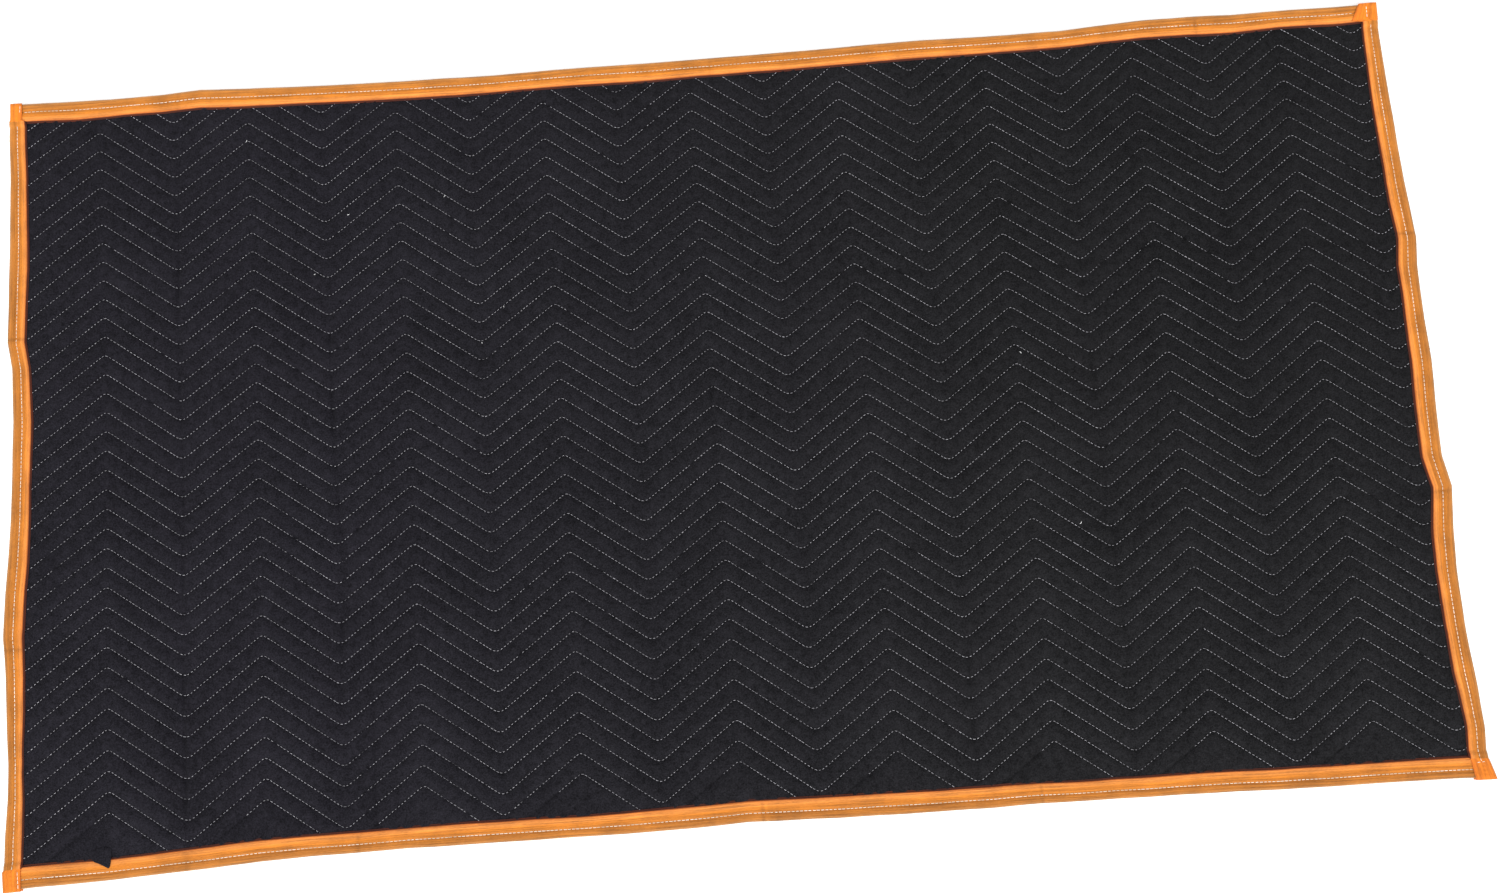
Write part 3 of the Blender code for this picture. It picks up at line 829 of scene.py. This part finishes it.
# A binding before it is made: the place of each station along it, its outer and inner edge across it,
# the undersides of its lower and upper leaves, and how much of a doubled cap it is, from 0 to 1
Strip = namedtuple("Strip", "name axis side along outer inner low leaf capped")


def stations_along(name, ends, extra=()):
    """Places along a strip, closer together at the folds that cross it."""
    even = np.linspace(*ends, round((ends[1] - ends[0]) / BINDING_STEP))
    folds = [place + share * width for place, width, _ in BINDINGS[name].kinks for share in KINK_STATIONS]
    return np.unique(np.concatenate([even, folds, extra]))


def long_strip(name, side):
    """The strip along the top (side 1) or bottom (-1) edge, its lower leaf lifted at both ends."""
    along = stations_along(name, (-HEM_EDGE_X, HEM_EDGE_X))
    flat = np.zeros(along.shape)
    outer = flat + side * HALF_WIDTH
    inner = side * (HALF_WIDTH - np.interp(along, *np.transpose(BINDINGS[name].widths)))
    return Strip(name, 0, side, along, outer, inner, corner_lift(along), flat + LEAF_BOTTOM, flat)


def short_strip(name, side):
    """The strip along the right (side 1) or left (-1) edge, its upper leaf raised over the corners."""
    ends = -HALF_WIDTH - CAPS[side, -1].reach, HALF_WIDTH + CAPS[side, 1].reach
    starts = [direction * (HALF_WIDTH - CAPS[side, direction].length) for direction in (-1, 1)]
    roots = [start + run for start in starts for run in (-CAP_ROOT_RUN, 0, CAP_ROOT_RUN)]
    rises = [direction * (HEM_Y - run) for direction in (-1, 1) for run in (0, 2.5, CAP_RISE_RUN)]
    along = stations_along(name, ends, roots + rises)
    capped = np.zeros(along.shape)
    outer = np.full(along.shape, side * HALF_LENGTH)
    inner = side * (HALF_LENGTH - np.interp(along, *np.transpose(BINDINGS[name].widths)))
    for direction in (-1, 1):
        cap = CAPS[side, direction]
        start = HALF_WIDTH - cap.length
        capped += soft_ramp(direction * along, start - CAP_ROOT_RUN, start)
        root = soft_ramp(direction * along, start, start + CAP_ROOT_RUN)
        flare = ramp(direction * along, start, HALF_WIDTH + cap.reach)
        outer += root * cap.outer_root + flare * (cap.outer_end - cap.outer_root)
        inner += root * cap.inner_root + flare * (cap.inner_end - cap.inner_root)
    raised = soft_ramp(np.abs(along), HEM_Y - CAP_RISE_RUN, HEM_Y)
    leaf = LEAF_BOTTOM + raised * (CAP_BOTTOM - LEAF_BOTTOM)
    return Strip(name, 1, side, along, outer, inner, np.zeros(along.shape), leaf, capped)


def kinked(strip):
    """How much lower the folds that cross a binding make it."""
    total = np.zeros(strip.along.shape)
    for place, width, depth in BINDINGS[strip.name].kinks:
        total += depth * np.exp(-(((strip.along - place) / width) ** 2))
    return total[:, None]


def strip_sections(strip, seed):
    """The outline at each station of a binding: (distance in from the fold, height), both as arrays."""
    inward, plain, cap = OUTLINE.T
    along = strip.along[:, None] + np.zeros(inward.shape)
    on_top = np.arange(inward.size) < len(UPPER_LEAF)
    outside = on_top & (plain > LEAF_SKIN)
    swell = BINDING_SWELL * smooth_noise(along, inward * SWELL_STRETCH, SWELL_SIZE_ALONG, seed)
    middle = soft_ramp(inward, 0, 3) * soft_ramp(-inward, -NOMINAL_WIDTH, 3 - NOMINAL_WIDTH)
    shape = plain + (cap - plain) * strip.capped[:, None]
    shape = shape + np.where(outside, (swell - kinked(strip)) * middle, 0.0)
    base = np.where(on_top, strip.leaf[:, None], strip.low[:, None])
    return inward + np.zeros(along.shape), base + shape


def inset(inward, height):
    """A clockwise outline, drawn in a little all round."""
    run, rise = np.roll(inward, -1) - np.roll(inward, 1), np.roll(height, -1) - np.roll(height, 1)
    length = np.hypot(run, rise)
    return inward + END_ROUNDING * rise / length, height - END_ROUNDING * run / length


def with_soft_ends(strip):
    """The strip with one more station at each end, for the drawn-in outline there."""
    def lengthened(values):
        return np.concatenate([values[:1], values, values[-1:]])

    longer = [lengthened(values) for values in strip[3:]]
    longer[0][[0, -1]] += -END_ROUNDING, END_ROUNDING
    return Strip(*strip[:3], *longer)


def strip_points(strip, seed):
    """The points of a binding, station by station, and how far in across its cloth each one is."""
    inward, height = strip_sections(strip, seed)
    for end in (0, -1):
        inward[end], height[end] = inset(inward[end], height[end])
    seam = BINDINGS[strip.name].seam_inward
    share = np.interp(inward, (-5, 0, SEAM_INWARD, 25, 30), (-5, 0, seam, 25, 30)) / NOMINAL_WIDTH
    share = share - CAP_LIP_CUT * np.maximum(share - 1, 0) * strip.capped[:, None]
    along = strip.along[:, None] + np.zeros(share.shape)
    waves = [smooth_noise(along, 0, WAVE_SIZE, seed + number) for number in (1, 2)]
    loose = 1 - strip.capped[:, None]
    across = strip.outer[:, None] + share * (strip.inner - strip.outer)[:, None]
    across += (1 - share) * OUTER_WAVE * waves[0] + share * loose * INNER_WAVE * waves[1]
    x, y = (along, across) if strip.axis == 0 else (across, along)
    return np.stack([x, y, height], axis=-1)


def add_cloth_map(mesh, strip):
    """UVs in metres of cloth: along the strip, and away from its fold, negative on the lower leaf."""
    inward = np.concatenate([UPPER_LEAF[:, 0], -LOWER_LEAF[:, 0]])
    along = np.repeat(strip.along, inward.size)
    by_point = np.stack([along, np.tile(inward, strip.along.size)], axis=-1) * MM
    corners = np.empty(len(mesh.loops), dtype=np.int32)
    mesh.loops.foreach_get("vertex_index", corners)
    layer = mesh.uv_layers.new(name="cloth")
    layer.data.foreach_set("uv", by_point[corners].astype(np.float32).ravel())


def choose_cap_faces(mesh, strip, sides):
    """Give the faces of the doubled caps the second material."""
    doubled = np.minimum(strip.capped[:-1], strip.capped[1:]) > 0.99
    numbers = np.zeros(len(mesh.polygons), dtype=np.int32)
    numbers[: doubled.size * sides] = np.repeat(doubled, sides)
    mesh.polygons.foreach_set("material_index", numbers)


def add_binding(strip, node, materials, seed):
    finished = with_soft_ends(strip)
    points = strip_points(finished, seed)
    stations, sides = points.shape[:2]
    mesh = mesh_from(strip.name, points, tube_faces(stations, sides))
    piece = new_piece(strip.name, mesh, materials, node)
    choose_cap_faces(mesh, finished, sides)
    add_cloth_map(mesh, finished)
    # Painted shade of the folds that cross the binding
    set_shade(mesh, np.repeat(KINK_SHADE * kinked(finished), sides))
    return piece, points


def cap_height(x, y):
    return np.full(x.shape, CAP_BOTTOM + TURNED_CLOTH)


def seam_stitches(points, axis, number, span, radius, rng):
    """The stitches along one line of a binding's points, between two places."""
    line = points[:, number]
    places = np.arange(*span, COURSE_STEP)
    across = np.interp(places, line[:, axis], line[:, 1 - axis])
    heights = np.interp(places, line[:, axis], line[:, 2])
    course = course_through(*((places, across) if axis == 0 else (across, places)))

    def height(x, y):
        return np.interp((x, y)[axis], places, heights)

    spans = stitch_spans(course, SEAM_STITCH_PITCH, SEAM_STITCHES, rng)
    return spindles(course, spans, height, radius, SEAM_RINGS)


def cap_stitches(name, rng):
    rows = []
    for x0, y0, x1, y1 in CAP_SEAMS.get(name, ()):
        course = course_through(np.linspace(x0, x1, 20), np.linspace(y0, y1, 20))
        spans = stitch_spans(course, SEAM_STITCH_PITCH, SEAM_STITCHES, rng)
        rows.append(spindles(course, spans, cap_height, CAP_STITCH_RADIUS, SEAM_RINGS))
    return rows


def add_bindings(materials, thread):
    rng = np.random.default_rng(9)
    strips = (
        (long_strip("top_binding", 1), "binding_top"),
        (long_strip("bottom_binding", -1), "binding_bottom"),
        (short_strip("left_binding", -1), "binding_left"),
        (short_strip("right_binding", 1), "binding_right"),
    )
    upper, lower = np.flatnonzero(OUTLINE[:, 0] == SEAM_INWARD)
    for number, (strip, node) in enumerate(strips):
        span = BINDINGS[strip.name].seam_span
        piece, points = add_binding(strip, node, materials, seed=20 + 10 * number)
        stitches = [
            seam_stitches(points, strip.axis, upper, span, SEAM_STITCH_RADIUS, rng),
            seam_stitches(points, strip.axis, lower, span, -SEAM_STITCH_RADIUS, rng),
        ]
        stitches += cap_stitches(strip.name, rng)
        name = f"{strip.name}_stitches"
        sewn = new_piece(name, thread_mesh(name, np.concatenate(stitches), 2), [thread])


def feed(tree, node, inputs):
    """Fill inputs of a node, each with a value or from the output of another node."""
    for name, value in inputs.items():
        if isinstance(value, bpy.types.NodeSocket):
            tree.links.new(value, node.inputs[name])
        else:
            node.inputs[name].default_value = value


def add_node(tree, kind, inputs, **settings):
    node = tree.nodes.new(kind)
    for name, value in settings.items():
        setattr(node, name, value)
    feed(tree, node, inputs)
    return node


def noise(tree, place, scale, detail=2.0, roughness=0.5):
    inputs = {"Vector": place, "Scale": scale, "Detail": detail, "Roughness": roughness}
    return add_node(tree, "ShaderNodeTexNoise", inputs).outputs["Fac"]


def arithmetic(tree, operation, first, second=0.0):
    inputs = {0: first, 1: second}
    return add_node(tree, "ShaderNodeMath", inputs, operation=operation).outputs[0]


def spread(tree, value, low, high, new_low, new_high):
    """Stretch a value's range from low..high to the new range, and hold it inside."""
    inputs = {"Value": value, "From Min": low, "From Max": high, "To Min": new_low, "To Max": new_high}
    return add_node(tree, "ShaderNodeMapRange", inputs).outputs["Result"]


def colour_ramp(tree, value, stops):
    node = add_node(tree, "ShaderNodeValToRGB", {"Fac": value})
    elements = node.color_ramp.elements
    while len(elements) < len(stops):
        elements.new(1.0)
    for element, (position, colour) in zip(elements, stops):
        element.position = position
        element.color = (*colour, 1.0)
    return node.outputs["Color"]


def mixed(tree, share, colours):
    return colour_ramp(tree, share, list(enumerate(colours)))


def shaded(tree, colour, brightness):
    """A colour made darker or lighter by a value."""
    inputs = {0: colour, "Scale": brightness}
    return add_node(tree, "ShaderNodeVectorMath", inputs, operation="SCALE").outputs[0]


def scaled(tree, place, scale):
    return add_node(tree, "ShaderNodeMapping", {"Vector": place, "Scale": scale}).outputs["Vector"]


def weave(tree, place, pitch):
    """Threads that cross at right angles, as a height from 0 to 1."""
    scale = 2 * np.pi / (WAVE_RATE * pitch * MM)
    inputs = {"Vector": place, "Scale": scale, "Distortion": 0.6, "Detail": 1.0, "Detail Scale": 0.4}
    warp, weft = (add_node(tree, "ShaderNodeTexWave", inputs, bands_direction=axis) for axis in "XY")
    return arithmetic(tree, "MAXIMUM", warp.outputs["Fac"], weft.outputs["Fac"])


def bump(tree, height, strength, depth):
    inputs = {"Height": height, "Strength": strength, "Distance": depth * MM}
    return add_node(tree, "ShaderNodeBump", inputs).outputs["Normal"]


def new_material(name, specular, sheen):
    """A material, its tree and its shader, with the values that are the same all over."""
    material = bpy.data.materials.new(name)
    material.use_nodes = True
    tree = material.node_tree
    shader = tree.nodes["Principled BSDF"]
    constants = {"Specular IOR Level": specular, "Sheen Weight": sheen, "Sheen Roughness": SHEEN_ROUGHNESS}
    feed(tree, shader, constants)
    return material, tree, shader


def object_place(tree):
    return add_node(tree, "ShaderNodeTexCoord", {}).outputs["Object"]


def part_of(tree, vector, axis):
    return add_node(tree, "ShaderNodeSeparateXYZ", {"Vector": vector}).outputs[axis]


def product_of(tree, first, *others):
    for other in others:
        first = arithmetic(tree, "MULTIPLY", first, other)
    return first


def sum_of(tree, *parts):
    """The sum of (value, weight) pairs."""
    total = None
    for value, weight in parts:
        part = product_of(tree, value, weight)
        total = part if total is None else arithmetic(tree, "ADD", total, part)
    return total


def shade_left(tree):
    """What is left of a colour under the painted shade that the mesh holds for its folds and seams."""
    shade = add_node(tree, "ShaderNodeAttribute", {}, attribute_name="shade").outputs["Fac"]
    return arithmetic(tree, "SUBTRACT", 1.0, shade)


def black_cloth():
    """Napped black cloth with a fine weave, cloudy patches and soft small crinkles, and painted shade in its
    folds, beside its seams and round one place.
    """
    material, tree, shader = new_material("black_cloth", specular=0.04, sheen=0.01)
    place = object_place(tree)
    clouds = noise(tree, place, 7.0, 3.0)
    patches = noise(tree, place, 110.0, 4.0, 0.65)
    nap = noise(tree, place, 520.0, 2.0, 0.7)
    threads = weave(tree, place, 0.9)
    mottle = sum_of(tree, (clouds, 0.13), (patches, 0.29), (nap, 0.58))
    cool = spread(tree, part_of(tree, place, "X"), *COOL_RUN, 1.0, 0.0)
    hue = mixed(tree, cool, BLACK)
    # Painted shade round one place, where the light falls off
    places = {0: place, 1: PAINTED_SHADE_PLACE}
    away = add_node(tree, "ShaderNodeVectorMath", places, operation="DISTANCE").outputs["Value"]
    darker = spread(tree, away, *PAINTED_SHADE_RUN, PAINTED_SHADE_SHARE, 1.0)
    brightness = product_of(tree, spread(tree, mottle, 0.38, 0.62, 0.42, 1.58), darker, shade_left(tree))
    crinkles = noise(tree, scaled(tree, place, (1.0, 0.6, 1.0)), 120.0, 4.0, 0.6)
    relief = sum_of(tree, (crinkles, 1.0), (threads, 0.05), (nap, 0.3))
    feed(tree, shader, {
        "Base Color": shaded(tree, hue, brightness),
        "Roughness": spread(tree, patches, 0.3, 0.7, 0.97, 0.82),
        "Normal": bump(tree, relief, 0.8, 4.2),
    })
    return material


def sewing_thread(name, colours, shine_size):
    """Thread with painted highlights that change from place to place, and fade over longer stretches."""
    material, tree, shader = new_material(name, specular=0.25, sheen=0.1)
    place = object_place(tree)
    each = noise(tree, place, 1 / (shine_size * MM), 1.0)
    stretches = noise(tree, place, 9.0, 2.0)
    shine = spread(tree, sum_of(tree, (each, 0.65), (stretches, 0.35)), 0.36, 0.64, 0.0, 1.0)
    twist = noise(tree, place, 2600.0, 1.0)
    feed(tree, shader, {
        "Base Color": mixed(tree, shine, colours),
        "Roughness": spread(tree, each, 0.3, 0.7, 0.7, 0.5),
        "Normal": bump(tree, twist, 0.5, 0.15),
    })
    return material


def binding_cloth(name, bands, streak):
    """Orange cloth in bands across the strip, with fibres and streaks that run along it, painted light
    towards the top edge and painted shade in the folds that cross it.
    """
    material, tree, shader = new_material(name, specular=0.15, sheen=0.03)
    mapped = add_node(tree, "ShaderNodeUVMap", {}, uv_map="cloth").outputs["UV"]
    share = arithmetic(tree, "ABSOLUTE", part_of(tree, mapped, "Y"))
    share = product_of(tree, share, 1 / (NOMINAL_WIDTH * MM))
    colour = colour_ramp(tree, share, bands)
    streaks = noise(tree, scaled(tree, mapped, (11.0, 430.0, 1.0)), 1.0, 3.0, 0.6)
    fibres = noise(tree, scaled(tree, mapped, (220.0, 1300.0, 1.0)), 1.0, 2.0)
    place = object_place(tree)
    patches = noise(tree, place, 40.0, 3.0)
    mottle = sum_of(tree, (streaks, streak), (fibres, 0.2), (patches, 0.8 - streak))
    # Painted light, lighter towards the top edge
    lighter = spread(tree, part_of(tree, place, "Y"), *PAINTED_LIGHT_RUN, 1.0, PAINTED_LIGHT_SHARE)
    brightness = product_of(tree, spread(tree, mottle, 0.36, 0.64, 0.62, 1.38), lighter, shade_left(tree))
    turns = product_of(tree, part_of(tree, mapped, "X"), 2 * np.pi / (SEAM_STITCH_PITCH * MM))
    pucker = arithmetic(tree, "SINE", turns)
    off_seam = arithmetic(tree, "ABSOLUTE", arithmetic(tree, "SUBTRACT", share, SEAM_INWARD / NOMINAL_WIDTH))
    puckers = product_of(tree, pucker, spread(tree, off_seam, 0.0, PUCKER_RUN, 1.0, 0.0))
    relief = sum_of(tree, (fibres, 0.3), (streaks, 1.0), (puckers, 0.08))
    feed(tree, shader, {
        "Base Color": shaded(tree, colour, brightness),
        "Roughness": spread(tree, streaks, 0.3, 0.7, 0.55, 0.78),
        "Normal": bump(tree, relief, 0.8, 2.0),
    })
    return material


def pale_floor():
    material, tree, shader = new_material("pale_floor", specular=0.2, sheen=0.0)
    place = object_place(tree)
    shade = spread(tree, noise(tree, place, 3.0, 3.0), 0.3, 0.7, 0.0, 1.0)
    feed(tree, shader, {
        "Base Color": mixed(tree, shade, FLOOR),
        "Roughness": 0.8,
        "Normal": bump(tree, noise(tree, place, 240.0, 2.0), 0.1, 0.3),
    })
    return material


def add_floor():
    half, z = FLOOR_HALF, -FLOOR_DROP * MM
    corners = [(-half, -half, z), (half, -half, z), (half, half, z), (-half, half, z)]
    mesh = bpy.data.meshes.new("floor")
    mesh.from_pydata(corners, [], [(0, 1, 2, 3)])
    mesh.materials.append(pale_floor())
    new_object("floor", mesh)


def add_light():
    """A pale room, and a softbox that gives the crowns of the quilting a little shade."""
    scene = bpy.context.scene
    scene.world = bpy.data.worlds.new("pale_room")
    scene.world.use_nodes = True
    background = scene.world.node_tree.nodes["Background"]
    background.inputs["Color"].default_value = (1.0, 1.0, 1.0, 1.0)
    background.inputs["Strength"].default_value = WORLD_STRENGTH
    light = bpy.data.lights.new("softbox", "AREA")
    light.shape = "RECTANGLE"
    light.size, light.size_y = SOFTBOX_SIZE
    light.energy = SOFTBOX_POWER
    new_object("softbox", light, SOFTBOX_PLACE, SOFTBOX_TURN)
    scene.view_settings.view_transform = "Standard"


def add_camera():
    camera = bpy.data.cameras.new("camera")
    camera.lens = CAMERA_LENS
    bpy.context.scene.camera = new_object("camera", camera, CAMERA_PLACE, CAMERA_TURN)


def main():
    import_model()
    add_camera()
    cloth = black_cloth()
    add_panel(cloth)
    add_pinch(cloth)
    rising_thread = sewing_thread("rising_thread", RISING_THREAD, STITCH_PITCH)
    falling_thread = sewing_thread("falling_thread", FALLING_THREAD, STITCH_PITCH)
    add_quilting(rising_thread, falling_thread)
    add_lint(sewing_thread("lint", LINT_THREAD, STITCH_PITCH))
    strip_cloth = binding_cloth("orange_binding", STRIP_BANDS, STRIP_STREAKS)
    cap_cloth = binding_cloth("orange_cap", CAP_BANDS, CAP_STREAKS)
    seam_thread = sewing_thread("binding_thread", SEAM_THREAD, SEAM_SHINE_SIZE)
    add_bindings([strip_cloth, cap_cloth], seam_thread)
    add_floor()
    add_light()


main()
